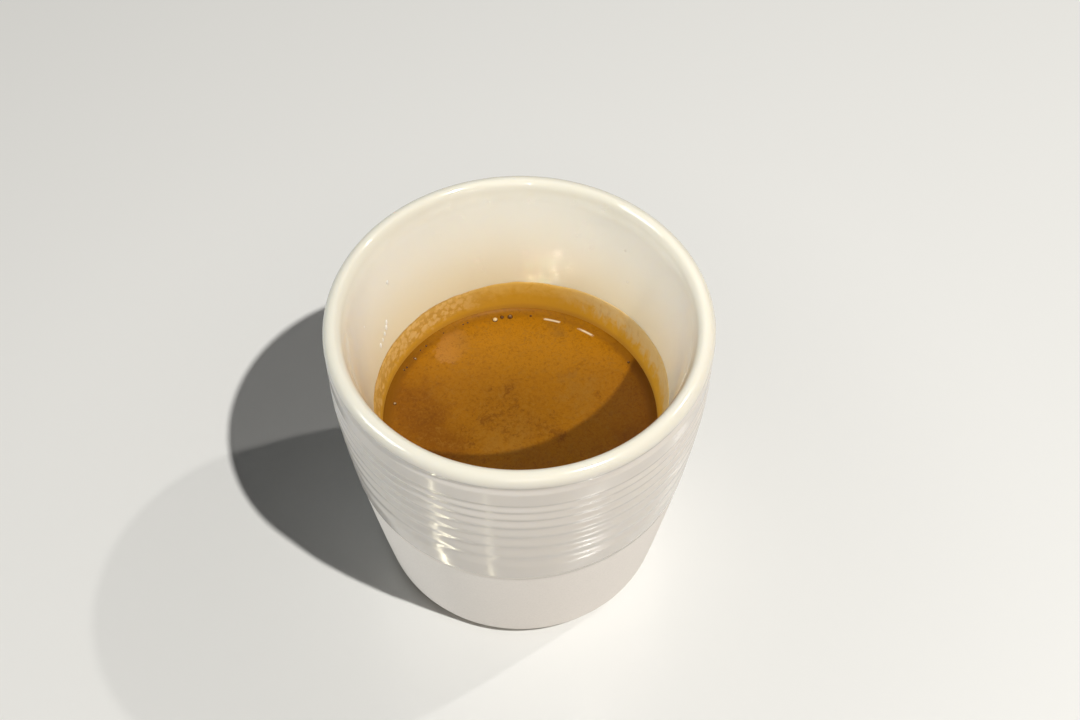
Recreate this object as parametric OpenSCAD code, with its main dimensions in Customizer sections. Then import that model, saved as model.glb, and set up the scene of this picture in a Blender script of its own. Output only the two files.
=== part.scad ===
// Espresso shot in a handleless porcelain cup.
// The origin is at the centre of the foot, on the table. +Z is the cup's axis.
// All sizes are in millimetres.

/* [Cup] */
// Height from the table to the top of the lip
cup_h = 62; // [54:0.5:74]
// Outer diameter across the lip
rim_d = 64; // [58:0.5:76]
// Outer diameter of the wall where it would meet the table
foot_d = 51.8; // [44:0.2:56]
// Distance from the top of the lip down to where the wall stops widening
belly_drop = 12; // [5:0.5:20]
// How evenly the wall widens: 1 is a straight taper, 2 is a round belly
belly_power = 1.35; // [1.2:0.05:2]

/* [Lip] */
// Thickness of the rounded lip
lip_t = 3.4; // [2.6:0.1:4.4]
// Height of the shallow cove just under the lip
cove_h = 2.4; // [1.6:0.1:3.2]
// Depth of that cove
cove_depth = 0.3; // [0.1:0.05:0.6]

/* [Throwing ridges] */
// Number of grooves, with a ridge between each two
groove_count = 7; // [3:1:7]
// Distance from the top of the lip down to the first groove
groove_start = 7.8; // [6.8:0.1:10]
// Distance between the first two grooves
groove_pitch = 2; // [1.4:0.05:2.4]
// How many times wider each ridge is than the one above it
groove_growth = 1.17; // [1:0.01:1.2]
// Depth of each groove
groove_depth = 0.2; // [0.1:0.05:0.5]

/* [Glaze] */
// Height of the plain glazed band between the last ridge and the bare clay
glaze_band_h = 4.4; // [2:0.2:8]
// Thickness of the glaze, which ends in a small step
glaze_t = 0.15; // [0.05:0.05:0.3]

/* [Inside] */
// Thickness of the floor
floor_t = 6; // [4:0.5:9]
// Diameter that the inner wall would have at the floor
well_d = 39; // [32:0.5:44]
// Radius between the inner wall and the floor
well_round = 7; // [4:0.5:10]
// How evenly the inner wall widens: 1 is a straight taper, 2 is a round bowl
well_power = 1.1; // [1:0.05:1.8]

/* [Foot] */
// Radius of the lower outer edge
foot_round = 3.2; // [1:0.1:3.8]
// Width of the flat ring that the cup stands on
foot_ring_w = 4; // [2.5:0.25:6]
// Depth of the hollow inside that ring
foot_hollow = 1.2; // [0.6:0.1:2]

/* [Espresso] */
// Distance from the top of the lip down to the crema
fill_drop = 29; // [18:0.5:36]
// How far the drink climbs where it wets the wall
meniscus_h = 0.8; // [0.4:0.1:1.8]
// Distance from the wall at which that climb begins
meniscus_w = 1.9; // [1.2:0.1:4]

/* [Hidden] */
$fn = 128;

rim_r = rim_d / 2;
foot_r = foot_d / 2;
well_r = well_d / 2;
lip_r = lip_t / 2;
mouth_r = rim_r - lip_t;
belly_z = cup_h - belly_drop;
lip_z = cup_h - lip_r;
cove_end = lip_z - cove_h;
fill_z = cup_h - fill_drop;
contact_z = fill_z + meniscus_h;

// Straight pieces in a rounded edge, in a ridge and in a plain stretch of wall
arc_steps = 8;
ridge_steps = 8;
wall_steps = 14;

// Levels from a towards b in equal steps, with a but without b
function levels(a, b, steps) = [for (i = [0:steps - 1]) a + (b - a) * i / steps];

// Points of an arc about [r, z] from angle a to angle b, with both its ends
function arc(r, z, radius, a, b, steps) =
    [for (i = [0:steps]) let (t = a + (b - a) * i / steps)
        [r + radius * cos(t), z + radius * sin(t)]];

// A smooth hollow one unit wide and deep: 1 in the middle, where share is 0, and 0 at the ends
function hollow(share) = (1 + cos(360 * share)) / 2;

// Radius of the glazed outer wall, and of the clay under the glaze
function glaze_r(z) =
    rim_r - (rim_r - foot_r) * pow(max(0, 1 - z / belly_z), belly_power);
function clay_r(z) = glaze_r(z) - glaze_t;

// Radius of the inner wall
function well_wall_r(z) =
    mouth_r - (mouth_r - well_r) * pow(1 - (z - floor_t) / (lip_z - floor_t), well_power);

// Distance from groove i down to the next one, and the level of groove i
function ridge_w(i) = groove_pitch * pow(groove_growth, i);
function groove_z(i) = i == 0 ? cup_h - groove_start : groove_z(i - 1) - ridge_w(i - 1);

grooves_top = groove_z(0) + ridge_w(0) / 2;
grooves_end = groove_z(groove_count - 1) - ridge_w(groove_count - 1) / 2;
glaze_end = grooves_end - glaze_band_h;

// The rounded lower edge runs into the wall, which leans out by this angle at the foot
foot_lean = atan(belly_power * (rim_r - foot_r) / belly_z);
foot_round_top = foot_round * (1 - sin(foot_lean));
foot_ring_r = clay_r(foot_round_top) - foot_round * cos(foot_lean);
foot_hollow_r = foot_ring_r - foot_ring_w;

underside = [
    [0, foot_hollow],
    [foot_hollow_r - foot_hollow, foot_hollow],
    [foot_hollow_r, 0]
];

outside_clay = concat(
    arc(foot_ring_r, foot_round, foot_round, -90, -foot_lean, arc_steps),
    [for (z = levels(foot_round_top, glaze_end, wall_steps))
        if (z > foot_round_top) [clay_r(z), z]],
    [[clay_r(glaze_end), glaze_end]]
);

// One groove, from the crest of the ridge below it to the crest of the ridge above it
function groove(i) =
    let (middle = groove_z(i),
         low = middle - ridge_w(i) / 2,
         high = i == 0 ? grooves_top : middle + ridge_w(i - 1) / 2)
    [for (z = levels(low, high, ridge_steps))
        let (half_w = z < middle ? middle - low : high - middle)
        [glaze_r(z) - groove_depth * hollow((z - middle) / half_w / 2), z]];

outside_glaze = concat(
    [for (z = levels(glaze_end + glaze_t, grooves_end, arc_steps)) [glaze_r(z), z]],
    [for (i = [groove_count - 1:-1:0]) each groove(i)],
    [for (z = levels(grooves_top, cove_end, arc_steps)) [glaze_r(z), z]],
    [for (z = levels(cove_end, lip_z, arc_steps))
        [glaze_r(z) - cove_depth * hollow((z - cove_end) / cove_h - 0.5), z]]
);

lip = arc(rim_r - lip_r, lip_z, lip_r, 0, 180, 2 * arc_steps);

// The inner wall above the drink, and the stretch that the drink fills
wall_dry = [for (z = levels(lip_z, contact_z, wall_steps)) if (z < lip_z) [well_wall_r(z), z]];
round_top = floor_t + well_round;
wall_wet = concat(
    [for (z = levels(contact_z, round_top, wall_steps)) [well_wall_r(z), z]],
    arc(well_wall_r(round_top) - well_round, round_top, well_round, 0, -90, arc_steps),
    [[0, floor_t]]
);

// The drink's top: level crema, then a curve that climbs to the wall
surface = concat(
    [[0, fill_z]],
    [for (share = levels(0, 1, arc_steps))
        [well_wall_r(contact_z) - meniscus_w * (1 - share), fill_z + meniscus_h * pow(share, 3)]]
);

module cup() {
    color("floralwhite")
        rotate_extrude()
            polygon(concat(underside, outside_clay, outside_glaze, lip, wall_dry, wall_wet));
}

module espresso() {
    color("darkgoldenrod")
        rotate_extrude()
            polygon(concat(surface, wall_wet));
}

cup();
espresso();
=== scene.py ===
"""An espresso in a handleless porcelain cup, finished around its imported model.

Every length is in metres, in the row's frame: the origin is at the centre of the foot, +Z is up.
"""

import math

import bpy
from mathutils import Matrix, Vector, noise


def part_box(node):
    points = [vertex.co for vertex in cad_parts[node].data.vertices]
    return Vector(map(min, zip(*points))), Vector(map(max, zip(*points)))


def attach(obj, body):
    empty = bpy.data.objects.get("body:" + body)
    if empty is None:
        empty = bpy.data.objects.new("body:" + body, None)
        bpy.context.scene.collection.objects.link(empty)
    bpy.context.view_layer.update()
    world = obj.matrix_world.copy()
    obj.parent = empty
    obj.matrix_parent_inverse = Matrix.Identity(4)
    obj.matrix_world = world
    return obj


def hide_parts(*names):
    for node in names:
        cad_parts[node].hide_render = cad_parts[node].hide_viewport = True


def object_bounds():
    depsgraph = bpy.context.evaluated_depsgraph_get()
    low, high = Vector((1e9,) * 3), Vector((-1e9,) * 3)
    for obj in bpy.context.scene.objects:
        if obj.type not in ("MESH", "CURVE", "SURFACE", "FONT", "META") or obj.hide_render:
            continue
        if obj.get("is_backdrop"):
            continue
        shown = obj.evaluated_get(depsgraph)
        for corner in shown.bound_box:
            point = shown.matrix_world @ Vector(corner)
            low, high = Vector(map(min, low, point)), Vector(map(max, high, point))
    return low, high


bl_info = {
    "name": "Espresso Cup Maker",
    "version": (1, 0, 0),
    "blender": (4, 5, 0),
    "location": "View3D > Sidebar > Espresso",
    "description": "Turns a porcelain cup and fills it with espresso under a golden crema",
    "category": "Add Mesh",
}

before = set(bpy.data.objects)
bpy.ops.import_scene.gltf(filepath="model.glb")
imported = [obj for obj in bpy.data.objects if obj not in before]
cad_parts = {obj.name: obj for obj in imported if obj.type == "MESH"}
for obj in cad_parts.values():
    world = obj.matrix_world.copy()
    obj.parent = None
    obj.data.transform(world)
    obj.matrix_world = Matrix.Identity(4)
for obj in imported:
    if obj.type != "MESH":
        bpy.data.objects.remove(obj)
CAD_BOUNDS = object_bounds()
CUP_LOW, CUP_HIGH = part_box("cup")
DRINK_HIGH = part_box("espresso")[1]

FILM_HEIGHT = "film_height"
BODY = "root"
MM = 0.001


# ---- Settings ----


def length(name, description, default):
    """A length that can be set, in metres."""
    return bpy.props.FloatProperty(
        name=name, description=description, default=default, min=0.0, precision=5, unit="LENGTH"
    )


def angle(name, description, degrees):
    """An angle that can be set, shown in degrees."""
    return bpy.props.FloatProperty(
        name=name, description=description, default=math.radians(degrees), unit="ROTATION"
    )


def share(name, description, default, most=1.0):
    """A plain number that can be set, usually from 0 to 1."""
    return bpy.props.FloatProperty(
        name=name, description=description, default=default, min=0.0, soft_max=most
    )


def count(name, description, default):
    """A whole number that can be set."""
    return bpy.props.IntProperty(name=name, description=description, default=default, min=1)


def colour(name, description, default):
    """A colour that can be set."""
    return bpy.props.FloatVectorProperty(
        name=name, description=description, default=default, size=3, subtype="COLOR", min=0, max=1
    )


def place(name, description, default):
    """A point that can be set."""
    return bpy.props.FloatVectorProperty(
        name=name, description=description, default=default, size=3, subtype="TRANSLATION"
    )


class CupSettings(bpy.types.PropertyGroup):
    """Sizes and colours of the porcelain cup."""

    foot_d: length("Foot Diameter", "Outer wall's diameter at the table", 51.8 * MM)
    belly_drop: length("Belly Drop", "From the top of the lip to where the wall is widest", 12 * MM)
    belly_power: share("Belly Power", "1 is a straight taper, 2 is a round belly", 1.35, 2)
    lip_t: length("Lip Thickness", "Thickness of the rounded lip", 3.4 * MM)
    lip_inside_h: length("Lip Inside", "How far the lip's curve runs down inside", 3.8 * MM)
    cove_h: length("Cove Height", "Height of the shallow cove under the lip", 2.4 * MM)
    cove_depth: length("Cove Depth", "Depth of that cove", 0.3 * MM)
    groove_count: count("Grooves", "Number of throwing grooves", 7)
    groove_start: length("First Groove", "From the top of the lip to the first groove", 7.8 * MM)
    groove_pitch: length("Groove Pitch", "Distance between the first two grooves", 2 * MM)
    groove_growth: share("Groove Growth", "How much wider each ridge is than the last", 1.17, 2)
    groove_depth: length("Groove Depth", "Depth of each groove", 0.2 * MM)
    hand_wobble: length("Hand Wobble", "How far a ridge strays up and down", 0.12 * MM)
    glaze_band_h: length("Glazed Band", "Plain glaze below the last ridge", 4.4 * MM)
    glaze_t: length("Glaze Thickness", "Step at the glaze's lower edge", 0.15 * MM)
    floor_t: length("Floor Thickness", "Thickness of the cup's floor", 6 * MM)
    well_d: length("Well Diameter", "Inner wall's diameter at the floor", 39 * MM)
    well_round: length("Well Round", "Radius between the inner wall and the floor", 7 * MM)
    well_power: share("Well Power", "1 is a straight taper, 2 is a round bowl", 1.1, 2)
    foot_round: length("Foot Round", "Radius of the lower outer edge", 3.2 * MM)
    foot_ring_w: length("Foot Ring", "Width of the ring that the cup stands on", 4 * MM)
    foot_hollow: length("Foot Hollow", "Depth of the hollow inside that ring", 1.2 * MM)
    columns: count("Columns", "Faces around the cup", 256)
    # Painted shade: the lip's glaze is darkened where the lamps light it most.
    lip_shade_colour: colour("Lip", "Warm white where the glaze is thin, on the lip", (0.72, 0.685, 0.59))
    glaze_colour: colour("Glaze", "Warm white of the glaze inside", (0.86, 0.845, 0.765))
    # Painted light and shade: the lower glaze is warmer and darker, for light bounced from the
    # drink.
    drink_bounce_colour: colour("Lower Glaze", "Creamier, thicker glaze", (0.74, 0.645, 0.43))
    # Painted shade: the same glaze as inside, made darker on the outer wall.
    outer_shade_colour: colour("Outer Glaze", "Cooler, thinner glaze outside", (0.665, 0.615, 0.56))
    clay_colour: colour("Bare Clay", "Colour of the unglazed porcelain", (0.87, 0.812, 0.757))


class DrinkSettings(bpy.types.PropertyGroup):
    """Sizes and colours of the espresso and its crema."""

    fill_drop: length("Fill Drop", "From the top of the lip down to the crema", 29 * MM)
    meniscus_h: length("Meniscus Height", "How far the drink climbs at the wall", 0.8 * MM)
    meniscus_w: length("Meniscus Width", "Where that climb begins, from the wall", 1.9 * MM)
    swell: length("Swell", "Height of the slow rise and fall of the crema", 0.05 * MM)
    wet_in: length("Wet In", "How far the drink reaches into the wall", 0.05 * MM)
    columns: count("Columns", "Faces around the drink", 256)
    crema_colour: colour("Crema", "Golden brown of the crema", (0.37, 0.145, 0.002))
    # Partly thicker crema and partly painted light bounced from the lit back wall.
    back_bounce_and_thick_colour: colour("Bright Crema", "Brighter gold at the back", (0.53, 0.223, 0.004))
    pale_colour: colour("Pale Foam", "Lighter, drier foam in the middle", (0.36, 0.165, 0.018))
    # Darker orange of the patches, mostly at the left and front of the crema.
    deep_colour: colour("Deep Crema", "Darker orange where the crema is thin", (0.24, 0.082, 0.001))
    # Painted highlight: two pale marks on the crema stand in for glints at the wall.
    foam_and_glint_colour: colour("Foam Lines", "Two fine lines of pale foam", (0.92, 0.80, 0.58))
    # Painted reflection: a pale patch stands in for the lit wall mirrored in the crema.
    sheen_colour: colour("Dry Foam", "One pale, dry patch of foam", (0.62, 0.30, 0.085))
    smudge_colour: colour("Smudges", "Brown of the fine grounds in the crema", (0.15, 0.046, 0.002))
    edge_colour: colour("Wet Edge", "Dark ring where the crema is thin", (0.25, 0.095, 0.002))


class FilmSettings(bpy.types.PropertyGroup):
    """Sizes and colours of the film that the crema left on the wall."""

    top_z: length("Top", "Mean level of the film's upper edge", 40.05 * MM)
    tilt: length("Tilt", "How much higher the film reaches on the right", 1.0 * MM)
    sag: length("Sag", "How much lower it is at the front and back than at the sides", 0.45 * MM)
    ripple: length("Ripple", "Height of the small waves in its upper edge", 0.18 * MM)
    thickness: length("Thickness", "Thickness of the film", 0.13 * MM)
    foam: length("Foam Relief", "Height of the foam cells in it", 0.05 * MM)
    columns: count("Columns", "Faces around the film", 480)
    rows: count("Rows", "Faces up the film", 30)
    low_colour: colour("Low Gold", "Brighter line just above the drink", (0.47, 0.23, 0.025))
    gold_colour: colour("Gold", "Where the film is thick", (0.55, 0.285, 0.022))
    high_colour: colour("High Gold", "Where the film thins upwards", (0.64, 0.38, 0.08))
    foam_and_glint_colour: colour("Foam", "Pale foam cells", (0.66, 0.42, 0.15))
    thin_colour: colour("Thin", "Where the porcelain shines through", (0.56, 0.40, 0.18))
    rim_colour: colour("Dried Edge", "Darker line that dried at the upper edge", (0.34, 0.17, 0.03))


class BubbleSettings(bpy.types.PropertyGroup):
    """Sizes and colours of the bubbles at the edge of the crema."""

    big_r: length("Large Radius", "Radius of the few large bubbles", 0.55 * MM)
    small_r: length("Small Radius", "Radius of the pinholes near the wall", 0.24 * MM)
    foot_colour: colour("Foot", "Dark amber around a bubble's foot", (0.10, 0.03, 0.002))
    # Painted highlight: the pale top of each bubble stands in for its glint.
    skin_highlight_colour: colour("Skin", "Pale thin skin on a bubble's top", (0.80, 0.62, 0.34))
    pit_colour: colour("Pinhole", "Dark inside of a burst bubble", (0.075, 0.02, 0.002))


class SplashSettings(bpy.types.PropertyGroup):
    """Size of the dried splashes on the inner wall, and their colour: a painted highlight."""

    half_h: length("Half Height", "Half the height of the largest splash", 0.85 * MM)
    # Painted highlight: near-white, brighter than the glaze, so the drops read as glints.
    splash_and_glint_colour: colour("Splashes", "Pale dried drops on the glaze", (1.0, 0.99, 0.95))


class StageSettings(bpy.types.PropertyGroup):
    """The floor, the lamps and the camera."""

    floor_size: length("Floor Size", "Width of the floor", 4.0)
    floor_colour: colour("Floor", "Colour of the pale floor", (0.90, 0.905, 0.892))
    sky_colour: colour("Sky", "Colour of the soft light from all around", (0.96, 0.98, 1.0))
    sky_strength: share("Sky Strength", "Strength of the soft light from all around", 0.056, 2)
    lamp_power: bpy.props.FloatProperty(
        name="Lamp Power", description="Power of the main lamp", default=11.5, min=0, unit="POWER"
    )
    lamp_distance: length("Lamp Distance", "Distance of the lamps from the cup", 1.2)
    eye: place("Camera", "Where the camera stands", (3.41 * MM, -151.83 * MM, 252.63 * MM))
    aim: place("Aim", "Point that the camera looks at", (3.4 * MM, 11.1 * MM, 35.0 * MM))
    roll: angle("Roll", "Turn of the camera about its own axis", -0.52)
    lens: bpy.props.FloatProperty(
        name="Lens", description="Focal length in millimetres", default=50.06, min=1, unit="CAMERA"
    )


# ---- Shapes ----


def steps(a, b, number, last=False):
    """Levels from a towards b in equal steps, with a, and with b only if last is set."""
    return [a + (b - a) * i / number for i in range(number + (1 if last else 0))]


def hollow(part):
    """A smooth hollow 1 wide and deep: 1 where part is 0, in the middle, and 0 at the ends."""
    return (1 + math.cos(2 * math.pi * part)) / 2


def ease(value, low, high):
    """A smooth rise from 0 at low to 1 at high."""
    part = min(1.0, max(0.0, (value - low) / (high - low)))
    return part * part * (3 - 2 * part)


def wander(azimuth, waves, seed):
    """A slow closed wave around the cup, between about -1 and 1."""
    at = Vector((math.cos(azimuth), math.sin(azimuth), 0)) * waves
    apart, gain = 7.31, 1.6
    return noise.noise(at + Vector((0, 0, seed * apart))) * gain


def direction(azimuth, elevation=0.0):
    """The direction at an azimuth and an elevation in degrees."""
    turn, lift = math.radians(azimuth), math.radians(elevation)
    level = math.cos(lift)
    return Vector((math.cos(turn) * level, math.sin(turn) * level, math.sin(lift)))


def arc(r, z, radius, a, b, number):
    """Points of an arc about (r, z) from angle a to angle b, in degrees, with both its ends."""
    turns = [math.radians(t) for t in steps(a, b, number, last=True)]
    return [(r + radius * math.cos(t), z + radius * math.sin(t)) for t in turns]


class CupShape:
    """Radii and levels of the cup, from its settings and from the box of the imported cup."""

    # Straight pieces in a rounded edge, in a groove and in each stretch of the wall
    arc_steps = 16
    groove_steps = 16
    underside_steps = 44
    clay_steps = 18
    bead_steps = 6
    band_steps = 10
    shoulder_steps = 8
    wall_steps = 40
    floor_steps = 6

    def __init__(self, sizes):
        self.sizes = sizes
        self.rim_r = CUP_HIGH.x
        self.top_z = CUP_HIGH.z
        self.foot_r = sizes.foot_d / 2
        self.well_r = sizes.well_d / 2
        self.lip_r = sizes.lip_t / 2
        self.lip_z = self.top_z - self.lip_r
        self.mouth_r = self.rim_r - sizes.lip_t
        self.belly_z = self.top_z - sizes.belly_drop
        self.lip_end = self.top_z - sizes.lip_inside_h
        self.cove_end = self.lip_z - sizes.cove_h
        self.widths = [
            sizes.groove_pitch * sizes.groove_growth**i for i in range(sizes.groove_count)
        ]
        first = self.top_z - sizes.groove_start
        self.grooves = [first - sum(self.widths[:i]) for i in range(sizes.groove_count)]
        self.grooves_top = first + self.widths[0] / 2
        self.grooves_end = self.grooves[-1] - self.widths[-1] / 2
        self.glaze_end = self.grooves_end - sizes.glaze_band_h
        self.foot_lean = math.atan(sizes.belly_power * (self.rim_r - self.foot_r) / self.belly_z)
        self.corner_z = sizes.foot_round * (1 - math.sin(self.foot_lean))
        self.ring_r = self.clay_r(self.corner_z) - sizes.foot_round * math.cos(self.foot_lean)

    def glaze_r(self, z):
        """Radius of the glazed outer wall without its grooves."""
        taper = max(0.0, 1 - z / self.belly_z) ** self.sizes.belly_power
        return self.rim_r - (self.rim_r - self.foot_r) * taper

    def clay_r(self, z):
        """Radius of the bare clay."""
        return self.glaze_r(z) - self.sizes.glaze_t

    def well_wall_r(self, z):
        """Radius of the inner wall."""
        floor_t = self.sizes.floor_t
        rise = 1 - (z - floor_t) / (self.lip_z - floor_t)
        return self.mouth_r - (self.mouth_r - self.well_r) * rise**self.sizes.well_power

    def lip_inside(self):
        """The inner side of the lip, whose curve into the wall is longer than the outer side's."""
        points = []
        for t in steps(0, math.pi / 2, 2 * self.arc_steps)[1:]:
            z = self.lip_end + (self.top_z - self.lip_end) * math.cos(t)
            wall_r = self.well_wall_r(min(z, self.lip_z))
            points.append((wall_r + self.lip_r * (1 - math.sin(t)), z))
        return points

    def well(self, top, wall_steps):
        """The inner wall from a level down to the floor's centre."""
        s = self.sizes
        turn_z = s.floor_t + s.well_round
        wall = [(self.well_wall_r(z), z) for z in steps(top, turn_z, wall_steps)]
        corner_r = self.well_wall_r(turn_z) - s.well_round
        corner = arc(corner_r, turn_z, s.well_round, 0, -90, self.arc_steps)
        floor = [(r, s.floor_t) for r in steps(corner_r, 0, self.floor_steps, last=True)[1:]]
        return wall + corner + floor

    def underside(self):
        """The bare underside from its centre out to the foot ring, with faint turning lines."""
        s = self.sizes
        hollow_r = self.ring_r - s.foot_ring_w
        turning = 0.05 * MM
        ring_step = 1.6 * MM
        soft = 0.4 * MM
        flat = [
            (r, s.foot_hollow - turning * (1 - hollow(r / ring_step)))
            for r in steps(0, hollow_r - s.foot_hollow - soft, self.underside_steps, last=True)
        ]
        slope = [
            (hollow_r - s.foot_hollow, s.foot_hollow - soft / 2),
            (hollow_r - soft, soft),
            (hollow_r - soft / 3, soft / 4),
            (hollow_r + soft / 2, 0),
        ]
        ring = [(r, 0) for r in steps(hollow_r + 2 * soft, self.ring_r, 3)]
        lean = math.degrees(self.foot_lean)
        corner = arc(self.ring_r, s.foot_round, s.foot_round, -90, -lean, self.arc_steps)
        return flat + slope + ring + corner

    def groove(self, i, azimuth):
        """One groove, from the crest below it to the crest above it."""
        s = self.sizes
        middle = self.grooves[i]
        low = middle - self.widths[i] / 2
        high = self.grooves_top if i == 0 else middle + self.widths[i - 1] / 2
        depth = s.groove_depth * (1 + 0.22 * wander(azimuth, 1.3, i))
        points = []
        for z in steps(low, high, self.groove_steps):
            half = middle - low if z < middle else high - middle
            cut = depth * hollow((z - middle) / half / 2)
            points.append((self.glaze_r(z) - cut, z))
        return points

    def sway(self, azimuth, z):
        """How far a ridge strays up or down, which dies away towards the first and last groove."""
        share_up = (z - self.grooves_end) / (self.grooves_top - self.grooves_end)
        bulge = 4 * share_up * (1 - share_up)
        return self.sizes.hand_wobble * wander(azimuth, 1.1, 5) * bulge

    def outside(self, azimuth):
        """The outer wall from the foot's rounded edge up to the lip, as bare clay and as glaze."""
        s = self.sizes
        bead_h = 2.4 * s.glaze_t
        edge_stray = 2.5 * s.hand_wobble
        edge_z = self.glaze_end + edge_stray * wander(azimuth, 1.6, 11)
        levels = steps(self.corner_z, edge_z, self.clay_steps, last=True)
        clay = [(self.clay_r(z), z) for z in levels[1:]]
        bead = [
            (self.clay_r(edge_z) + s.glaze_t * math.sin(t), edge_z + bead_h * (1 - math.cos(t)))
            for t in steps(0, math.pi / 2, self.bead_steps, last=True)[1:]
        ]
        levels = steps(edge_z + 2 * bead_h, self.grooves_end, self.band_steps)
        band = [(self.glaze_r(z), z) for z in levels]
        ridges = []
        for i in reversed(range(s.groove_count)):
            ridges += self.groove(i, azimuth)
        ridges = [(r, z + self.sway(azimuth, z)) for r, z in ridges]
        levels = steps(self.grooves_top, self.cove_end, self.shoulder_steps)
        shoulder = [(self.glaze_r(z), z) for z in levels]
        cove = [
            (self.glaze_r(z) - s.cove_depth * hollow((z - self.cove_end) / s.cove_h - 0.5), z)
            for z in steps(self.cove_end, self.lip_z, self.arc_steps)
        ]
        return clay, bead + band + ridges + shoulder + cove

    def column(self, azimuth):
        """(points of the whole outline at one azimuth, where its bare clay and outer glaze end)."""
        clay, glazed = self.outside(azimuth)
        bare = self.underside() + clay
        glazed += arc(self.rim_r - self.lip_r, self.lip_z, self.lip_r, 0, 90, self.arc_steps)
        inside = self.lip_inside() + self.well(self.lip_end, self.wall_steps)
        return bare + glazed + inside, (len(bare), len(bare) + len(glazed))


def azimuths(columns):
    """Equal angles around the cup."""
    return [2 * math.pi * i / columns for i in range(columns)]


def turned(name, outlines):
    """A closed piece from an outline for each azimuth, which begins and ends on the axis."""
    columns = len(outlines)
    rows = len(outlines[0]) - 2
    points = [(0, 0, outlines[0][0][1])]
    for azimuth, outline in zip(azimuths(columns), outlines):
        across, along = math.cos(azimuth), math.sin(azimuth)
        points += [(r * across, r * along, z) for r, z in outline[1:-1]]
    points.append((0, 0, outlines[0][-1][1]))
    faces = []
    for i in range(columns):
        a = 1 + i * rows
        b = 1 + (i + 1) % columns * rows
        faces.append((0, b, a))
        faces += [(a + j, b + j, b + j + 1, a + j + 1) for j in range(rows - 1)]
        faces.append((a + rows - 1, b + rows - 1, len(points) - 1))
    return piece(name, points, faces)


def piece(name, points, faces):
    """A smooth mesh object in the row's frame, linked to the scene."""
    mesh = bpy.data.meshes.new(name)
    mesh.from_pydata(points, [], faces)
    mesh.validate()
    mesh.shade_smooth()
    made = bpy.data.objects.new(name, mesh)
    bpy.context.scene.collection.objects.link(made)
    return made


def ring_shell(name, rings):
    """A closed band from rings of points, each joined to the next and the last to the first."""
    columns = len(rings[0])
    points = [point for ring in rings for point in ring]
    faces = []
    for j in range(len(rings)):
        a = j * columns
        b = (j + 1) % len(rings) * columns
        for i in range(columns):
            k = (i + 1) % columns
            faces.append((a + i, a + k, b + k, b + i))
    return piece(name, points, faces)


def drink_outline(cup, sizes, azimuth):
    """The drink's outline: from the crema's centre to the wall, and down to the floor's centre."""
    fill_z = cup.top_z - sizes.fill_drop
    contact_z = fill_z + sizes.meniscus_h
    wall_r = cup.well_wall_r(contact_z)
    start_r = wall_r - sizes.meniscus_w
    level_steps, climb_steps, buried_steps = 70, 24, 20
    level = [(r, fill_z) for r in steps(0, start_r, level_steps)]
    climb = [
        (start_r + sizes.meniscus_w * part, fill_z + sizes.meniscus_h * part**3)
        for part in steps(0, 1, climb_steps, last=True)
    ]
    slow, quick = 6 * MM, 2.2 * MM
    across, along = math.cos(azimuth), math.sin(azimuth)
    top = []
    for r, z in level + climb:
        at = Vector((r * across, r * along, 0))
        calm = 1 - ease(r, start_r, wall_r)
        lift = noise.noise(at / slow) + 0.5 * noise.noise(at / quick)
        top.append((r, z + sizes.swell * calm * lift))
    buried = [(r + sizes.wet_in, z) for r, z in cup.well(contact_z, buried_steps)[:-1]]
    return top + buried + [(0, cup.sizes.floor_t - sizes.wet_in)]


def contact_level(drink):
    """Level of the line where the drink meets the wall."""
    return CUP_HIGH.z - drink.fill_drop + drink.meniscus_h


def crema_level(drink, r):
    """Level of the crema at a distance from the axis, without its slow swell."""
    part = max(0.0, 1 - (DRINK_HIGH.x - r) / drink.meniscus_w)
    return contact_level(drink) - drink.meniscus_h * (1 - part**3)


def film_top(sizes, azimuth):
    """Level of the film's upper edge."""
    slow = sizes.tilt * math.cos(azimuth) + sizes.sag * math.cos(2 * azimuth)
    return sizes.top_z + slow + sizes.ripple * (
        wander(azimuth, 3.2, 21) + 0.45 * wander(azimuth, 11, 22) + 0.2 * wander(azimuth, 30, 23)
    )


def film_rings(cup, sizes, drink):
    """Rings of the film: up its face, over its edge and down its back inside the porcelain."""
    below, cell_w = 0.3 * MM, 0.9 * MM
    edge_steepness, back_steps = 9, 3
    low_z = contact_level(drink) - below
    turns = azimuths(sizes.columns)
    tops = [film_top(sizes, t) for t in turns]

    def on_wall(part):
        """Points of the wall at a share of the film's height, and how far each is from the axis."""
        for t, top in zip(turns, tops):
            z = low_z + (top - low_z) * part
            r = cup.well_wall_r(z)
            yield Vector((r * math.cos(t), r * math.sin(t), z)), r

    def face(part, proud):
        """A ring of the face, where proud is its share of the film's thickness."""
        ring = []
        for (p, r), t in zip(on_wall(part), turns):
            nearest = noise.voronoi(p / cell_w)[0][0]
            bulge = sizes.foam * foaminess(t, part) * (0.5 - nearest) * 2
            inward = 1 - (sizes.thickness + bulge) * proud / r
            ring.append((p.x * inward, p.y * inward, p.z))
        return ring

    def back(part):
        """A ring of the back, a little inside the porcelain."""
        outward = [(p, 1 + drink.wet_in / r) for p, r in on_wall(part)]
        return [(p.x * deep, p.y * deep, p.z) for p, deep in outward]

    faces = [
        face(part, min(1.0, edge_steepness * (1 - part)) ** 0.5)
        for part in steps(0, 1, sizes.rows)
    ]
    backs = [back(part) for part in steps(1, 0, back_steps, last=True)]
    return faces + [face(1.0, 0.0)] + backs


def foaminess(azimuth, part):
    """How foamy the film is at an azimuth and a share of its height: most at the back left."""
    left = 0.5 - 0.5 * math.cos(azimuth + math.radians(35))
    return (0.3 + 0.7 * left) * ease(part, 0.15, 0.5)


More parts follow.
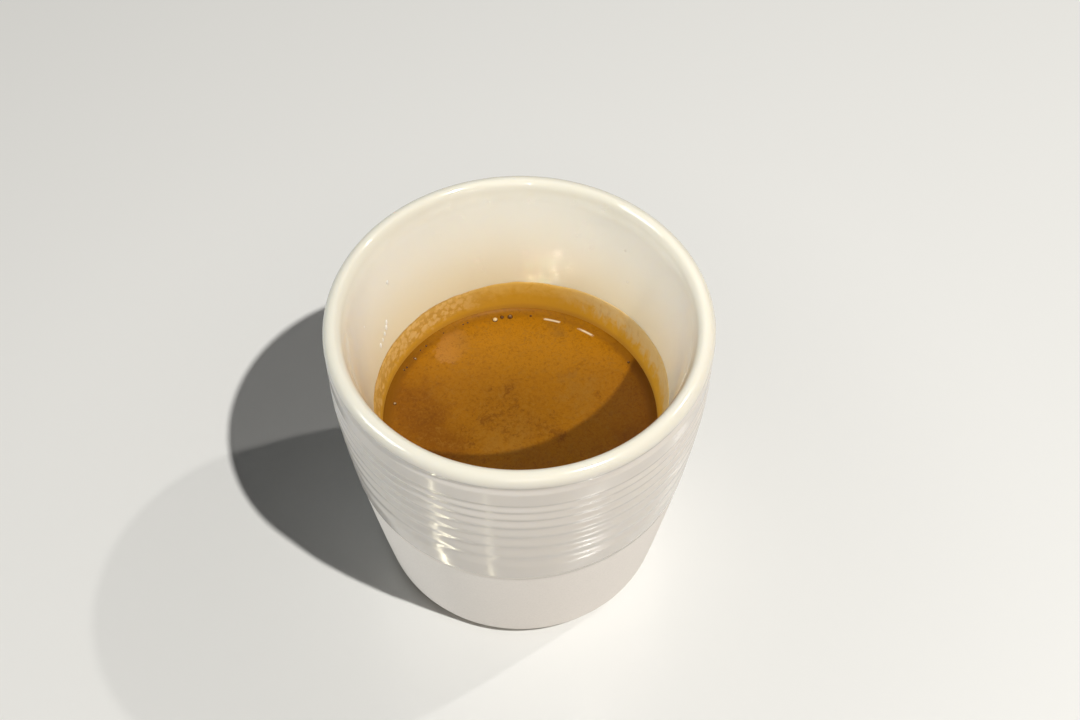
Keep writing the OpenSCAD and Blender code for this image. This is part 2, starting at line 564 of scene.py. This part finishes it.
def dome(points, faces, centre, across, along, out):
    """Adds a closed dome, with its three half axes, to a list of points and a list of faces."""
    around, up = 20, 6
    start = len(points)
    for j in range(up):
        rise = math.radians(90 * j / up)
        for turn in azimuths(around):
            flat = across * math.cos(turn) + along * math.sin(turn)
            points.append(centre + flat * math.cos(rise) + out * math.sin(rise))
    points.append(centre + out)
    top = len(points) - 1
    for i in range(around):
        k = (i + 1) % around
        for j in range(up - 1):
            a, b = start + j * around, start + (j + 1) * around
            faces.append((a + i, a + k, b + k, b + i))
        last = start + (up - 1) * around
        faces.append((last + i, last + k, top))
    faces.append(tuple(start + i for i in reversed(range(around))))


# ---- Finishes ----


class Line:
    """One output socket, so that shader maths reads as an ordinary expression."""

    def __init__(self, finish, socket):
        self.finish = finish
        self.socket = socket

    def maths(self, operation, a, b):
        """A Math node on two values."""
        return self.finish.node("Math", {"operation": operation}, {0: a, 1: b})

    def __add__(self, other):
        return self.maths("ADD", self, other)

    def __sub__(self, other):
        return self.maths("SUBTRACT", self, other)

    def __rsub__(self, other):
        return self.maths("SUBTRACT", other, self)

    def __mul__(self, other):
        return self.maths("MULTIPLY", self, other)

    __radd__ = __add__
    __rmul__ = __mul__


class Finish:
    """A material built from expressions on its sockets."""

    def __init__(self, name):
        self.material = bpy.data.materials.new(name)
        self.material.use_nodes = True
        self.tree = self.material.node_tree
        self.tree.nodes.clear()

    def node(self, kind, settings=None, inputs=None, output=0):
        """Adds a node: its settings first, then the values or links of its sockets."""
        made = self.tree.nodes.new("ShaderNode" + kind)
        for name, value in (settings or {}).items():
            setattr(made, name, value)
        for name, value in (inputs or {}).items():
            if isinstance(value, Line):
                self.tree.links.new(value.socket, made.inputs[name])
            else:
                made.inputs[name].default_value = value
        return Line(self, made.outputs[output]) if made.outputs else None

    def vectors(self, operation, a, b, output=0):
        """Maths on vectors, whose result is a vector, or a number from the output named Value."""
        return self.node("VectorMath", {"operation": operation}, {0: a, 1: b}, output)

    def place(self):
        """The point's place in the row's frame."""
        return self.node("TexCoord", output="Object")

    def axis(self, name):
        """One coordinate of the point's place."""
        return self.node("SeparateXYZ", inputs={0: self.place()}, output=name)

    def stretched(self, across, up):
        """The point's place with its level and its other axes scaled apart."""
        return self.vectors("MULTIPLY", self.place(), (across, across, up))

    def clouds(self, size, detail=3.0, roughness=0.5, distortion=0.0, at=None):
        """Cloudy noise around 0.5, whose features are about size across."""
        values = {
            "Vector": at or self.place(),
            "Scale": 1 / size,
            "Detail": detail,
            "Roughness": roughness,
            "Distortion": distortion,
        }
        return self.node("TexNoise", inputs=values, output="Fac")

    def cells(self, size, feature="F1", at=None):
        """Distance to the nearest of many scattered points, in cells about size across."""
        values = {"Vector": at or self.place(), "Scale": 1 / size}
        return self.node("TexVoronoi", {"feature": feature}, values, output="Distance")

    def rise(self, value, low, high):
        """A smooth rise from 0 at low to 1 at high, or a fall where low is the greater."""
        settings = {"interpolation_type": "SMOOTHSTEP"}
        if low < high:
            return self.node("MapRange", settings, {0: value, 1: low, 2: high})
        return self.node("MapRange", settings, {0: value, 1: high, 2: low, 3: 1.0, 4: 0.0})

    def warped(self, size, reach):
        """The point's place shifted by noise, which frays the outline of what is drawn there."""
        values = {"Vector": self.place(), "Scale": 1 / size, "Detail": 3.0}
        shift = self.node("TexNoise", inputs=values, output="Color")
        centred = self.vectors("SUBTRACT", shift, (0.5, 0.5, 0.5))
        scaled = self.vectors("MULTIPLY", centred, (2 * reach,) * 3)
        return self.vectors("ADD", self.place(), scaled)

    def away(self, x, y, at):
        """Level distance from (x, y)."""
        flat = self.vectors("MULTIPLY", at, (1, 1, 0))
        return self.vectors("DISTANCE", flat, (x, y, 0), "Value")

    def patch(self, x, y, radius, at):
        """1 in the middle of a round patch, and 0 outside it. Its place is in millimetres."""
        return self.rise(self.away(x * MM, y * MM, at), radius * MM, 0)

    def patches(self, places, at):
        """The sum of several round patches."""
        return sum((self.patch(*patch, at) for patch in places[1:]), self.patch(*places[0], at))

    def blend(self, a, b, mask):
        """Colour a where the mask is 0 and colour b where it is 1."""
        settings = {"data_type": "RGBA", "clamp_factor": True}
        a, b = (tint if isinstance(tint, Line) else opaque(tint) for tint in (a, b))
        return self.node("Mix", settings, {0: mask, 6: a, 7: b}, output=2)

    def relief(self, height, distance, normal=None):
        """A bump of a height from 0 to 1 over a real distance."""
        inputs = {"Strength": 1.0, "Distance": distance, "Height": height}
        if normal:
            inputs["Normal"] = normal
        return self.node("Bump", inputs=inputs)

    def surface(self, **inputs):
        """Ends the material in one surface, whose sockets take values or links."""
        names = {name.replace("_", " "): value for name, value in inputs.items()}
        made = self.node("BsdfPrincipled", inputs=names)
        self.node("OutputMaterial", inputs={"Surface": made})
        return self.material


def opaque(values):
    """A colour with its alpha."""
    return tuple(values) + (1,)


def glaze_finish(name, low_tint, changes, roughness):
    """Clear glossy glaze. Each change is a tone, and the two levels that it comes in between."""
    f = Finish(name)
    level = f.axis("Z") + (f.clouds(9 * MM, detail=2) - 0.5) * (1.5 * MM)
    base_colour = low_tint
    for tint, low, high in changes:
        base_colour = f.blend(base_colour, tint, f.rise(level, low, high))
    waves = f.relief(f.clouds(5 * MM, detail=1), 0.035 * MM)
    fine = f.relief(f.clouds(1.1 * MM, detail=2), 0.0025 * MM, waves)
    return f.surface(
        Base_Color=base_colour,
        Roughness=roughness + 0.06 * f.clouds(4 * MM),
        IOR=1.52,
        Subsurface_Weight=0.5,
        Subsurface_Radius=(1.0, 0.9, 0.7),
        Subsurface_Scale=1.6 * MM,
        Normal=fine,
    )


def clay_finish(sizes):
    """Bare porcelain: matt, with a fine grain, faint turning lines and a few specks."""
    f = Finish("bare clay")
    base = Vector(sizes.clay_colour)
    grain = f.clouds(0.35 * MM, detail=4, roughness=0.7)
    drift = f.clouds(9 * MM, detail=3)
    tone = f.blend(base * 0.95, base * 1.03, f.rise(grain, 0.3, 0.7))
    tone = f.blend(tone, base * 0.97, 0.5 * drift)
    specks = f.rise(f.cells(1.3 * MM), 0.11, 0.06)
    base_colour = f.blend(tone, base * 0.82, 0.5 * specks)
    lines = f.clouds(1 * MM, detail=3, at=f.stretched(0.06, 1.6))
    turning = f.relief(lines, 0.02 * MM)
    grit = f.relief(grain, 0.035 * MM, turning)
    return f.surface(Base_Color=base_colour, Roughness=0.68 + 0.2 * grain, IOR=1.45, Normal=grit)


# Places on the crema as x, y and radius, in millimetres
DEEP_PATCHES = ((-19, 1, 11), (-14, -7, 9), (21, -6, 9), (2, -17, 12))
# Pale foam patches; the one at (-12, 17) is a painted reflection of the lit wall.
PALE_AND_SHEEN_PATCHES = ((-2, -5, 10), (11, 5, 8), (-12, 17, 5), (6, 20, 7))
MOTTLED_PATCHES = (
    (-4, 1, 9), (3, -2, 7), (7, -4, 3), (-10, -5, 6), (-2, 7, 4), (14, -9, 5), (-16, -1, 6)
)
# Painted reflection: a pale patch where the lit wall is mirrored in the crema.
SHEEN_PATCHES = ((-12.2, 16.6, 3.6), (-13.2, 14.2, 3.2))
# Painted highlights: two pale marks that stand in for glints at the wall.
GLINT_LINES = ((5.5, 22.0, 2.2), (12.0, 19.0, 2.6))
SPOTS = ((7.2, -3.7, 1.5), (-6.7, -1.0, 1.6), (5.5, 0.5, 1.5), (-2.0, 6.0, 1.4), (-8.4, -6.0, 1.2))
# Distances from the axis over which a painted glint line comes in and goes out, in millimetres
GLINT_LINE_R = (22.2, 22.5, 22.6, 22.85)


class CremaFinish(Finish):
    """Wet cloudy golden foam, fine brown smudges, a dark edge where it thins, painted sheen and
    glints.
    """

    def __init__(self, sizes):
        super().__init__("crema")
        self.sizes = sizes
        self.x, self.y = self.axis("X"), self.axis("Y")
        self.drift = self.clouds(7 * MM, detail=5, roughness=0.6, distortion=0.6)
        self.wisps = self.clouds(2.6 * MM, detail=7, roughness=0.76, distortion=0.8)
        self.curds = self.clouds(1.2 * MM, detail=5, roughness=0.7, distortion=1.2)
        self.froth = self.clouds(0.6 * MM, detail=4, roughness=0.75, distortion=0.8)
        self.bent = self.warped(5 * MM, 3.2 * MM)
        self.frayed = self.warped(1.0 * MM, 1.3 * MM)

    def deep(self):
        """Where the crema is darker orange, in patches mostly at the left and front."""
        deep = self.patches(DEEP_PATCHES, self.bent) * 0.6 + (self.drift - 0.5)
        deep = deep + (self.wisps - 0.5) * 1.4 + (self.curds - 0.5)
        return self.rise(deep, -0.1, 0.8)

    def golds(self, deep):
        """Gold that brightens towards the back, between deep orange and paler foam."""
        sizes = self.sizes
        # The brighter back is partly thicker crema and partly painted light bounced from the lit
        # back wall.
        back = self.rise(self.y + (self.drift - 0.5) * (8 * MM), 4 * MM, 20 * MM)
        body = self.blend(sizes.crema_colour, sizes.back_bounce_and_thick_colour, back)
        body = self.blend(body, sizes.deep_colour, deep)
        # Pale foam, where the patch at the back left is a painted reflection.
        pale = self.patches(PALE_AND_SHEEN_PATCHES, self.bent) * 0.8 + (self.wisps - 0.5) * 2.6
        return self.blend(body, sizes.pale_colour, 0.6 * self.rise(pale, 0.2, 1.0))

    def smudged(self, body):
        """Brown stains and fine grounds, mostly in the middle."""
        brown = self.sizes.smudge_colour
        mottled = self.patches(MOTTLED_PATCHES, self.bent)
        stain = mottled * 0.5 + (0.5 - self.drift) * 1.6 + (0.5 - self.wisps) * 2.4
        body = self.blend(body, brown, 0.2 * self.rise(stain, 0.0, 0.8))
        grounds = mottled * 0.15 + self.patches(SPOTS, self.frayed) * 0.3
        grounds = grounds + (0.5 - self.wisps) * 0.8 + (0.5 - self.curds) * 1.5
        return self.blend(body, brown, 0.5 * self.rise(grounds, 0.1, 0.38))

    def foamed(self, body, deep):
        """Pale curds, a painted reflection patch, and fine froth, paler away from the deep orange.
        """
        sizes = self.sizes
        body = self.blend(body, sizes.pale_colour, 0.5 * self.rise(self.curds, 0.52, 0.68))
        sheen_mask = self.rise(self.patches(SHEEN_PATCHES, self.frayed), 0.0, 0.2)
        sheen_mask = sheen_mask * self.rise(self.x, -8 * MM, -15 * MM)
        body = self.blend(body, sizes.sheen_colour, 0.4 * sheen_mask)
        froth = (0.6 - 0.4 * deep) * self.rise(self.froth, 0.5, 0.7)
        body = self.blend(body, sizes.pale_colour, froth)
        return self.blend(body, sizes.smudge_colour, 0.4 * self.rise(self.froth, 0.52, 0.32))

    def finished(self, wall_r):
        """The whole surface, with its wet ring and its two painted glint lines at the wall."""
        sizes = self.sizes
        r = self.away(0, 0, self.place())
        deep = self.deep()
        body = self.foamed(self.smudged(self.golds(deep)), deep)
        ring_r = r + (self.wisps - 0.5) * (0.6 * MM)
        ring = self.rise(ring_r, wall_r - 2.4 * MM, wall_r - 1.1 * MM)
        faded = ring * (0.85 - 0.5 * self.rise(self.y, 10 * MM, 22 * MM))
        body = self.blend(body, sizes.edge_colour, faded)
        # Two pale marks by the wall are painted highlights that stand in for glints.
        in_r, full_r, thin_r, out_r = (level * MM for level in GLINT_LINE_R)
        line = self.rise(r, in_r, full_r) * self.rise(r, out_r, thin_r)
        glint_dashes = line * self.rise(self.patches(GLINT_LINES, self.frayed), 0.1, 0.5)
        body = self.blend(body, sizes.foam_and_glint_colour, glint_dashes)
        relief = self.relief(self.froth, 0.012 * MM)
        roughness = 0.34 + 0.12 * ring
        return self.surface(Base_Color=body, Roughness=roughness, IOR=1.23, Normal=relief)


def film_finish(sizes):
    """Crema dried to a film: thick gold, foam cells at the left and thin streaks at the right."""
    f = Finish("crema film")
    x = f.axis("X")
    up = f.node("Attribute", {"attribute_name": FILM_HEIGHT}, output="Fac")
    wisps = f.clouds(1.6 * MM, detail=5, roughness=0.62, distortion=0.6)
    fine = f.clouds(0.5 * MM, detail=3, roughness=0.6)
    left = f.rise(x, -2 * MM, -16 * MM)
    right = f.rise(x, 4 * MM, 17 * MM)

    cells = f.cells(1.25 * MM, at=f.warped(0.8 * MM, 0.7 * MM))
    cells = f.rise(cells + (fine - 0.5) * 0.6, 0.62, 0.28)
    foamy = f.rise(up + (wisps - 0.5) * 0.7, 0.12, 0.4) * left
    foam = (0.2 + 0.8 * cells) * foamy
    streaks = f.clouds(0.8 * MM, detail=4, roughness=0.6, at=f.stretched(1, 0.22))
    thin = f.rise(up + (streaks - 0.5) * 0.9 + (wisps - 0.5) * 0.6, 0.22, 0.7)

    body = f.blend(sizes.low_colour, sizes.gold_colour, f.rise(up, 0.03, 0.2))
    body = f.blend(body, sizes.high_colour, f.rise(up + (wisps - 0.5) * 0.6, 0.4, 0.95))
    body = f.blend(body, sizes.rim_colour, 0.4 * f.rise(cells, 0.35, 0.0) * foamy)
    body = f.blend(body, sizes.foam_and_glint_colour, foam * 0.9)
    body = f.blend(body, sizes.thin_colour, thin * right * 0.9)
    dark_streaks = f.rise(streaks, 0.55, 0.72) * right * f.rise(up, 0.3, 0.5)
    body = f.blend(body, sizes.rim_colour, dark_streaks * 0.3)
    body = f.blend(body, sizes.gold_colour, 0.35 * f.rise(wisps, 0.5, 0.3))
    dried = f.rise(up + (fine - 0.5) * 0.06, 0.93, 0.985)
    body = f.blend(body, sizes.rim_colour, dried * (0.1 + 0.6 * left))
    relief = f.relief(wisps + fine * 0.5, 0.03 * MM)
    return f.surface(Base_Color=body, Roughness=0.32 + 0.2 * fine, IOR=1.4, Normal=relief)


def bubble_finish(name, base_tint, top_tint, low, high, index=1.9):
    """Glossy skin, from a dark foot to a paler top. A high index makes a wet skin mirror more."""
    f = Finish(name)
    level = f.axis("Z") + (f.clouds(0.3 * MM, detail=1) - 0.5) * (0.1 * MM)
    skin = f.blend(base_tint, top_tint, f.rise(level, low, high))
    return f.surface(Base_Color=skin, Roughness=0.05, IOR=index)


def floor_finish(sizes):
    """Pale floor with a soft sheen, and painted shade that darkens it a little near the cup."""
    f = Finish("pale floor")
    base = Vector(sizes.floor_colour)
    tone = f.blend(base * 0.99, base * 1.01, f.clouds(0.25, detail=2))
    # Painted shade around the cup.
    near = f.rise(f.away(0, 0, f.place()), 110 * MM, 30 * MM)
    return f.surface(Base_Color=f.blend(tone, base * 0.9, near), Roughness=0.2, IOR=1.6)


# ---- Pieces ----


class ESPRESSO_OT_cup(bpy.types.Operator):
    """Turn the porcelain cup, glazed inside and above, bare below"""

    bl_idname = "espresso.cup"
    bl_label = "Cup"

    def execute(self, context):
        sizes = context.scene.espresso_cup
        cup = CupShape(sizes)
        columns = [cup.column(t) for t in azimuths(sizes.columns)]
        body = turned("cup_body", [outline for outline, ends in columns])
        # The lip tint is painted shade that tones down the brightly lit lip, outside and inside.
        onto_lip = (sizes.lip_shade_colour, cup.cove_end + 1.2 * MM, cup.top_z)
        # Lower in the cup the inner glaze is warmer and darker: painted light bounced from the
        # drink.
        up_wall = (sizes.glaze_colour, DRINK_HIGH.z, cup.top_z - 4 * MM)
        into_lip = (sizes.lip_shade_colour, cup.lip_end - 0.5 * MM, cup.top_z - 1 * MM)
        # The outer glaze is the inner glaze made darker as painted shade.
        outer = glaze_finish("outer glaze", sizes.outer_shade_colour, [onto_lip], roughness=0.12)
        inner = glaze_finish("inner glaze", sizes.drink_bounce_colour, [up_wall, into_lip], roughness=0.06)
        for finish in (clay_finish(sizes), outer, inner):
            body.data.materials.append(finish)
        outline, ends = columns[0]
        faces_each = len(outline) - 1
        for face in body.data.polygons:
            row = face.index % faces_each
            face.material_index = sum(row >= end - 1 for end in ends)
        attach(body, BODY)
        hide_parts("cup")
        return {"FINISHED"}


class ESPRESSO_OT_drink(bpy.types.Operator):
    """Pour the espresso, with its crema and the curve where it wets the wall"""

    bl_idname = "espresso.drink"
    bl_label = "Espresso"

    def execute(self, context):
        sizes = context.scene.espresso_drink
        cup = CupShape(context.scene.espresso_cup)
        outlines = [drink_outline(cup, sizes, t) for t in azimuths(sizes.columns)]
        drink = turned("crema", [list(reversed(outline)) for outline in outlines])
        drink.data.materials.append(CremaFinish(sizes).finished(DRINK_HIGH.x))
        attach(drink, BODY)
        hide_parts("espresso")
        return {"FINISHED"}


class ESPRESSO_OT_film(bpy.types.Operator):
    """Leave a film of crema on the wall above the drink"""

    bl_idname = "espresso.film"
    bl_label = "Film"

    def execute(self, context):
        sizes = context.scene.espresso_film
        cup = CupShape(context.scene.espresso_cup)
        film = ring_shell("crema_film", film_rings(cup, sizes, context.scene.espresso_drink))
        film.data.materials.append(film_finish(sizes))
        low_z = contact_level(context.scene.espresso_drink)
        heights = film.data.attributes.new(FILM_HEIGHT, "FLOAT", "POINT")
        for vertex in film.data.vertices:
            top = film_top(sizes, math.atan2(vertex.co.y, vertex.co.x))
            heights.data[vertex.index].value = (vertex.co.z - low_z) / (top - low_z)
        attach(film, BODY)
        return {"FINISHED"}


def small_piece(name, points, faces, finish):
    """A small piece of the drink with its finish, fixed to the cup."""
    made = piece(name, points, faces)
    made.data.materials.append(finish)
    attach(made, BODY)


class ESPRESSO_OT_bubbles(bpy.types.Operator):
    """Float a few bubbles and pinholes near the wall"""

    bl_idname = "espresso.bubbles"
    bl_label = "Bubbles"

    # Azimuth in degrees, distance from the axis in millimetres, and size against the largest
    # Pale bubble tops are painted highlights; the bubbles at 173.5 and 32 degrees stand where
    # glints are.
    bubbles = ((103, 22.4, 0.95), (147, 23.1, 0.5), (173.5, 22.6, 0.6), (32, 23.1, 0.45))
    dark_bubbles = ((99.5, 22.8, 0.7), (95.7, 22.7, 0.95), (86, 22.9, 0.45))
    pinholes = (
        (138.5, 23.5, 1.0), (142, 23.6, 0.8), (153, 23.4, 1.0), (154.8, 23.5, 0.8),
        (115.7, 23.4, 0.9), (117.9, 23.4, 0.8), (128, 23.6, 0.7), (147, 23.5, 0.7),
    )
    # How high each kind stands against its radius
    bubble_rise, dark_rise, pinhole_rise = 0.75, 0.8, 0.3

    def execute(self, context):
        sizes = context.scene.espresso_bubbles
        drink = context.scene.espresso_drink
        foot, top = sizes.foot_colour, sizes.skin_highlight_colour
        skin = self.skin(drink, "bubble skin", foot, top, 0.08, 0.34)
        dark = self.skin(drink, "dark bubble skin", foot, top, 0.3, 0.52)
        pit = self.skin(drink, "pinhole", sizes.pit_colour, foot, 0.3, 0.9)
        big_r, small_r = sizes.big_r, sizes.small_r
        self.scatter("bubbles", self.bubbles, big_r, self.bubble_rise, drink, skin)
        self.scatter("dark_bubbles", self.dark_bubbles, big_r, self.dark_rise, drink, dark)
        self.scatter("pinholes", self.pinholes, small_r, self.pinhole_rise, drink, pit)
        return {"FINISHED"}

    def skin(self, drink, name, foot, top, low, high):
        """A finish whose colour changes between two levels above the crema, in millimetres."""
        level = crema_level(drink, 0)
        return bubble_finish(name, foot, top, level + low * MM, level + high * MM)

    def scatter(self, name, spots, radius, rise, drink, finish):
        """One piece of many low domes that sit on the crema."""
        points, faces = [], []
        sunk = 0.03 * MM
        for azimuth, distance, scale in spots:
            r = distance * MM
            centre = direction(azimuth) * r
            centre.z = crema_level(drink, r) - sunk
            size = radius * scale
            across, along = Vector((size, 0, 0)), Vector((0, size, 0))
            dome(points, faces, centre, across, along, Vector((0, 0, size * rise)))
        small_piece(name, points, faces, finish)


class ESPRESSO_OT_splashes(bpy.types.Operator):
    """Dry a few small splashes on the inner wall"""

    bl_idname = "espresso.splashes"
    bl_label = "Splashes"

    # Azimuth in degrees, level in millimetres, and size against the largest
    splashes = (
        (147.5, 52.0, 0.8), (167.3, 50.7, 0.45), (153.9, 44.9, 0.9), (154.9, 44.0, 1.0),
        (156.8, 43.3, 0.8), (159.0, 42.8, 0.7), (161.4, 42.5, 0.9), (49.1, 53.8, 0.45),
        (45.3, 47.6, 0.4),
    )
    # Half the width of a splash, and how far it stands out, against half its height
    narrowness, flatness = 0.4, 0.22

    def execute(self, context):
        sizes = context.scene.espresso_splashes
        cup = CupShape(context.scene.espresso_cup)
        up = Vector((0, 0, 1))
        buried = 0.05 * MM
        points, faces = [], []
        for azimuth, level, scale in self.splashes:
            inward = -direction(azimuth)
            z = level * MM
            centre = up * z - inward * (cup.well_wall_r(z) + buried)
            half_h = sizes.half_h * scale
            across = up.cross(inward) * (self.narrowness * half_h)
            dome(points, faces, centre, across, up * half_h, inward * (self.flatness * half_h))
        # The near-white tint is a painted highlight, so the drops read as glints on the wall.
        tint = sizes.splash_and_glint_colour
        dried = bubble_finish("dried splash", tint, tint, CUP_LOW.z, CUP_HIGH.z, index=1.5)
        small_piece("splashes", points, faces, dried)
        return {"FINISHED"}


class ESPRESSO_OT_stage(bpy.types.Operator):
    """Lay the floor, hang the lamps and stand the camera"""

    bl_idname = "espresso.stage"
    bl_label = "Stage"

    # Name, azimuth and elevation in degrees, width and height in millimetres, share, colour, and
    # what it lights: the drink, all the rest, the cup with the film on it, or only the cup
    lamps = (
        ("key", -40, 61.5, 26, 26, 1.14, (1.0, 0.975, 0.93), "rest"),
        ("right", 22, 52, 30, 30, 0.19, (1.0, 0.97, 0.92), "rest"),
        ("left fill", -165, 36, 500, 500, 0.52, (0.85, 0.945, 1.0), "cup"),
        ("front fill", -85, 40, 500, 500, 0.08, (1.0, 0.96, 0.90), "cup"),
        ("right mouth glint", -66, 16, 160, 14, 0.012, (1.0, 0.98, 0.96), "glaze"),
        ("left mouth glint", -112, 20, 130, 12, 0.01, (1.0, 0.98, 0.96), "glaze"),
        ("drink light", -69, 51, 26, 26, 0.72, (1.0, 0.975, 0.93), "drink"),
        ("drink fill", 90, 75, 400, 400, 0.16, (1.0, 0.97, 0.92), "drink"),
    )
    # Name, azimuth and elevation in degrees of both ends, width in millimetres, and share
    strips = (
        ("left strip", (-136, -39), (148, -77.5), 14, 0.05),
        ("middle strip", (-107, -38), (-171, -85), 12, 0.014),
        ("right strip", (-72, -56.5), (-40, -57.5), 8, 0.002),
    )
    strip_tint = (1.0, 0.92, 0.66)
    # Azimuth and elevation in degrees, share, and the middle and radius in millimetres of what each
    # narrow beam lights inside the cup
    beams = (
        (-165, 54, 1.68, (16, 4, 54), 24),
        (160, 60, 0.24, (6, -4, 58), 24),
        (-95, 36, 0.52, (0, 25, 52), 17),
    )
    beam_tint = (1.0, 0.97, 0.92)

    def execute(self, context):
        sizes = context.scene.espresso_stage
        self.floor(sizes)
        self.groups = {
            "drink": self.group("drink", ["crema"], "INCLUDE"),
            "rest": self.group("rest", ["crema"], "EXCLUDE"),
            "cup": self.group("cup", ["cup_body", "crema_film"], "INCLUDE"),
            "glaze": self.group("glaze", ["cup_body"], "INCLUDE"),
        }
        self.clear_floor = self.group("clear floor", ["floor"], "EXCLUDE")
        for lamp in self.lamps:
            self.lamp(sizes, *lamp)
        for strip in self.strips:
            self.strip(sizes, *strip)
        for beam in self.beams:
            self.beam(sizes, *beam)
        self.sky(context, sizes)
        self.camera(context, sizes)
        return {"FINISHED"}

    def floor(self, sizes):
        """The plain floor, just clear of the foot."""
        half = sizes.floor_size / 2
        level = CUP_LOW.z - 0.02 * MM
        corners = [(-half, -half), (half, -half), (half, half), (-half, half)]
        floor = piece("floor", [(x, y, level) for x, y in corners], [(0, 1, 2, 3)])
        floor.data.materials.append(floor_finish(sizes))
        floor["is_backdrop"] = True

    def group(self, name, pieces, state):
        """Pieces as a group that a lamp takes in or leaves out."""
        group = bpy.data.collections.new(name)
        for piece_name in pieces:
            group.objects.link(bpy.data.objects[piece_name])
        for member in group.collection_objects:
            member.light_linking.link_state = state
        return group

    def lamp(self, sizes, name, azimuth, elevation, width, height, part, tint, lit):
        """One soft lamp, with its height along the meridian."""
        light = bpy.data.lights.new(name, "AREA")
        light.shape = "ELLIPSE"
        light.size, light.size_y = width * MM, height * MM
        light.energy = sizes.lamp_power * part
        light.color = tint
        middle = Vector((0, 0, (CUP_LOW.z + CUP_HIGH.z) / 2))
        hung = self.hang(sizes, light, azimuth, elevation, middle)
        hung.light_linking.receiver_collection = self.groups[lit]

    def strip(self, sizes, name, start, end, width, part):
        """A narrow lamp under the floor, standing for a bright strip that is seen in its polish."""
        a, b = direction(*start), direction(*end)
        light = bpy.data.lights.new(name, "AREA")
        light.shape = "ELLIPSE"
        light.size = width * MM
        light.size_y = 2 * sizes.lamp_distance * math.tan(a.angle(b) / 2)
        light.energy = sizes.lamp_power * part
        light.color = self.strip_tint
        away = (a + b).normalized()
        across = (b - a).cross(away).normalized()
        turn = Matrix((across, away.cross(across), away)).transposed()
        hung = bpy.data.objects.new(name, light)
        hung.matrix_world = Matrix.Translation(away * sizes.lamp_distance) @ turn.to_4x4()
        bpy.context.scene.collection.objects.link(hung)
        hung.light_linking.receiver_collection = self.groups["glaze"]
        hung.light_linking.blocker_collection = self.clear_floor

    def beam(self, sizes, azimuth, elevation, part, middle, radius):
        """One narrow beam through the cup's mouth, for its inner wall."""
        light = bpy.data.lights.new("beam", "SPOT")
        light.shadow_soft_size = 6 * MM
        light.spot_size = 2 * math.atan(radius * MM / sizes.lamp_distance)
        light.spot_blend = 0.7
        light.energy = sizes.lamp_power * part
        light.color = self.beam_tint
        hung = self.hang(sizes, light, azimuth, elevation, Vector(middle) * MM)
        hung.light_linking.receiver_collection = self.groups["cup"]

    def hang(self, sizes, light, azimuth, elevation, target):
        """Hangs a light on a sphere around its target, facing it."""
        towards = direction(azimuth, elevation)
        hung = bpy.data.objects.new(light.name, light)
        hung.location = target + towards * sizes.lamp_distance
        hung.rotation_euler = towards.to_track_quat("Z", "Y").to_euler()
        bpy.context.scene.collection.objects.link(hung)
        return hung

    def sky(self, context, sizes):
        """Soft light from all around."""
        world = bpy.data.worlds.new("soft light")
        world.use_nodes = True
        background = world.node_tree.nodes["Background"]
        background.inputs["Color"].default_value = opaque(sizes.sky_colour)
        background.inputs["Strength"].default_value = sizes.sky_strength
        context.scene.world = world

    def camera(self, context, sizes):
        """The camera, turned a little about its own axis, and a plain view of the colours."""
        eye, aim = Vector(sizes.eye), Vector(sizes.aim)
        view = (aim - eye).normalized()
        right = view.cross(Vector((0, 0, 1))).normalized()
        right = Matrix.Rotation(sizes.roll, 3, view) @ right
        up = right.cross(view)
        data = bpy.data.cameras.new("camera")
        data.sensor_width = 36
        data.lens = sizes.lens
        camera = bpy.data.objects.new("camera", data)
        turn = Matrix((right, up, -view)).transposed()
        camera.matrix_world = Matrix.Translation(eye) @ turn.to_4x4()
        context.scene.collection.objects.link(camera)
        context.scene.camera = camera
        context.scene.view_settings.view_transform = "Standard"


class ESPRESSO_PT_panel(bpy.types.Panel):
    """Sizes and colours of the cup, the espresso and the stage"""

    bl_idname = "ESPRESSO_PT_panel"
    bl_label = "Espresso"
    bl_space_type = "VIEW_3D"
    bl_region_type = "UI"
    bl_category = "Espresso"

    def draw(self, context):
        """Lists each maker with its settings."""
        for name, settings, operator in MAKERS:
            box = self.layout.box()
            box.operator(operator.bl_idname)
            for setting in settings.__annotations__:
                box.prop(getattr(context.scene, name), setting)


# Each maker's name for its settings in the scene, the settings and the operator, in making order
MAKERS = (
    ("espresso_cup", CupSettings, ESPRESSO_OT_cup),
    ("espresso_drink", DrinkSettings, ESPRESSO_OT_drink),
    ("espresso_film", FilmSettings, ESPRESSO_OT_film),
    ("espresso_bubbles", BubbleSettings, ESPRESSO_OT_bubbles),
    ("espresso_splashes", SplashSettings, ESPRESSO_OT_splashes),
    ("espresso_stage", StageSettings, ESPRESSO_OT_stage),
)


def register():
    """Registers the settings, the operators and the panel."""
    for name, settings, operator in MAKERS:
        bpy.utils.register_class(settings)
        setattr(bpy.types.Scene, name, bpy.props.PointerProperty(type=settings))
        bpy.utils.register_class(operator)
    bpy.utils.register_class(ESPRESSO_PT_panel)


def unregister():
    """Undoes register."""
    bpy.utils.unregister_class(ESPRESSO_PT_panel)
    for name, settings, operator in reversed(MAKERS):
        bpy.utils.unregister_class(operator)
        delattr(bpy.types.Scene, name)
        bpy.utils.unregister_class(settings)


def main():
    """Makes the whole scene."""
    register()
    for name, settings, operator in MAKERS:
        group, call = operator.bl_idname.split(".")
        getattr(getattr(bpy.ops, group), call)()
    boxes = {"cad": CAD_BOUNDS, "visual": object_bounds()}
    {name: [list(corner) for corner in box] for name, box in boxes.items()}


if __name__ == "__main__":
    main()
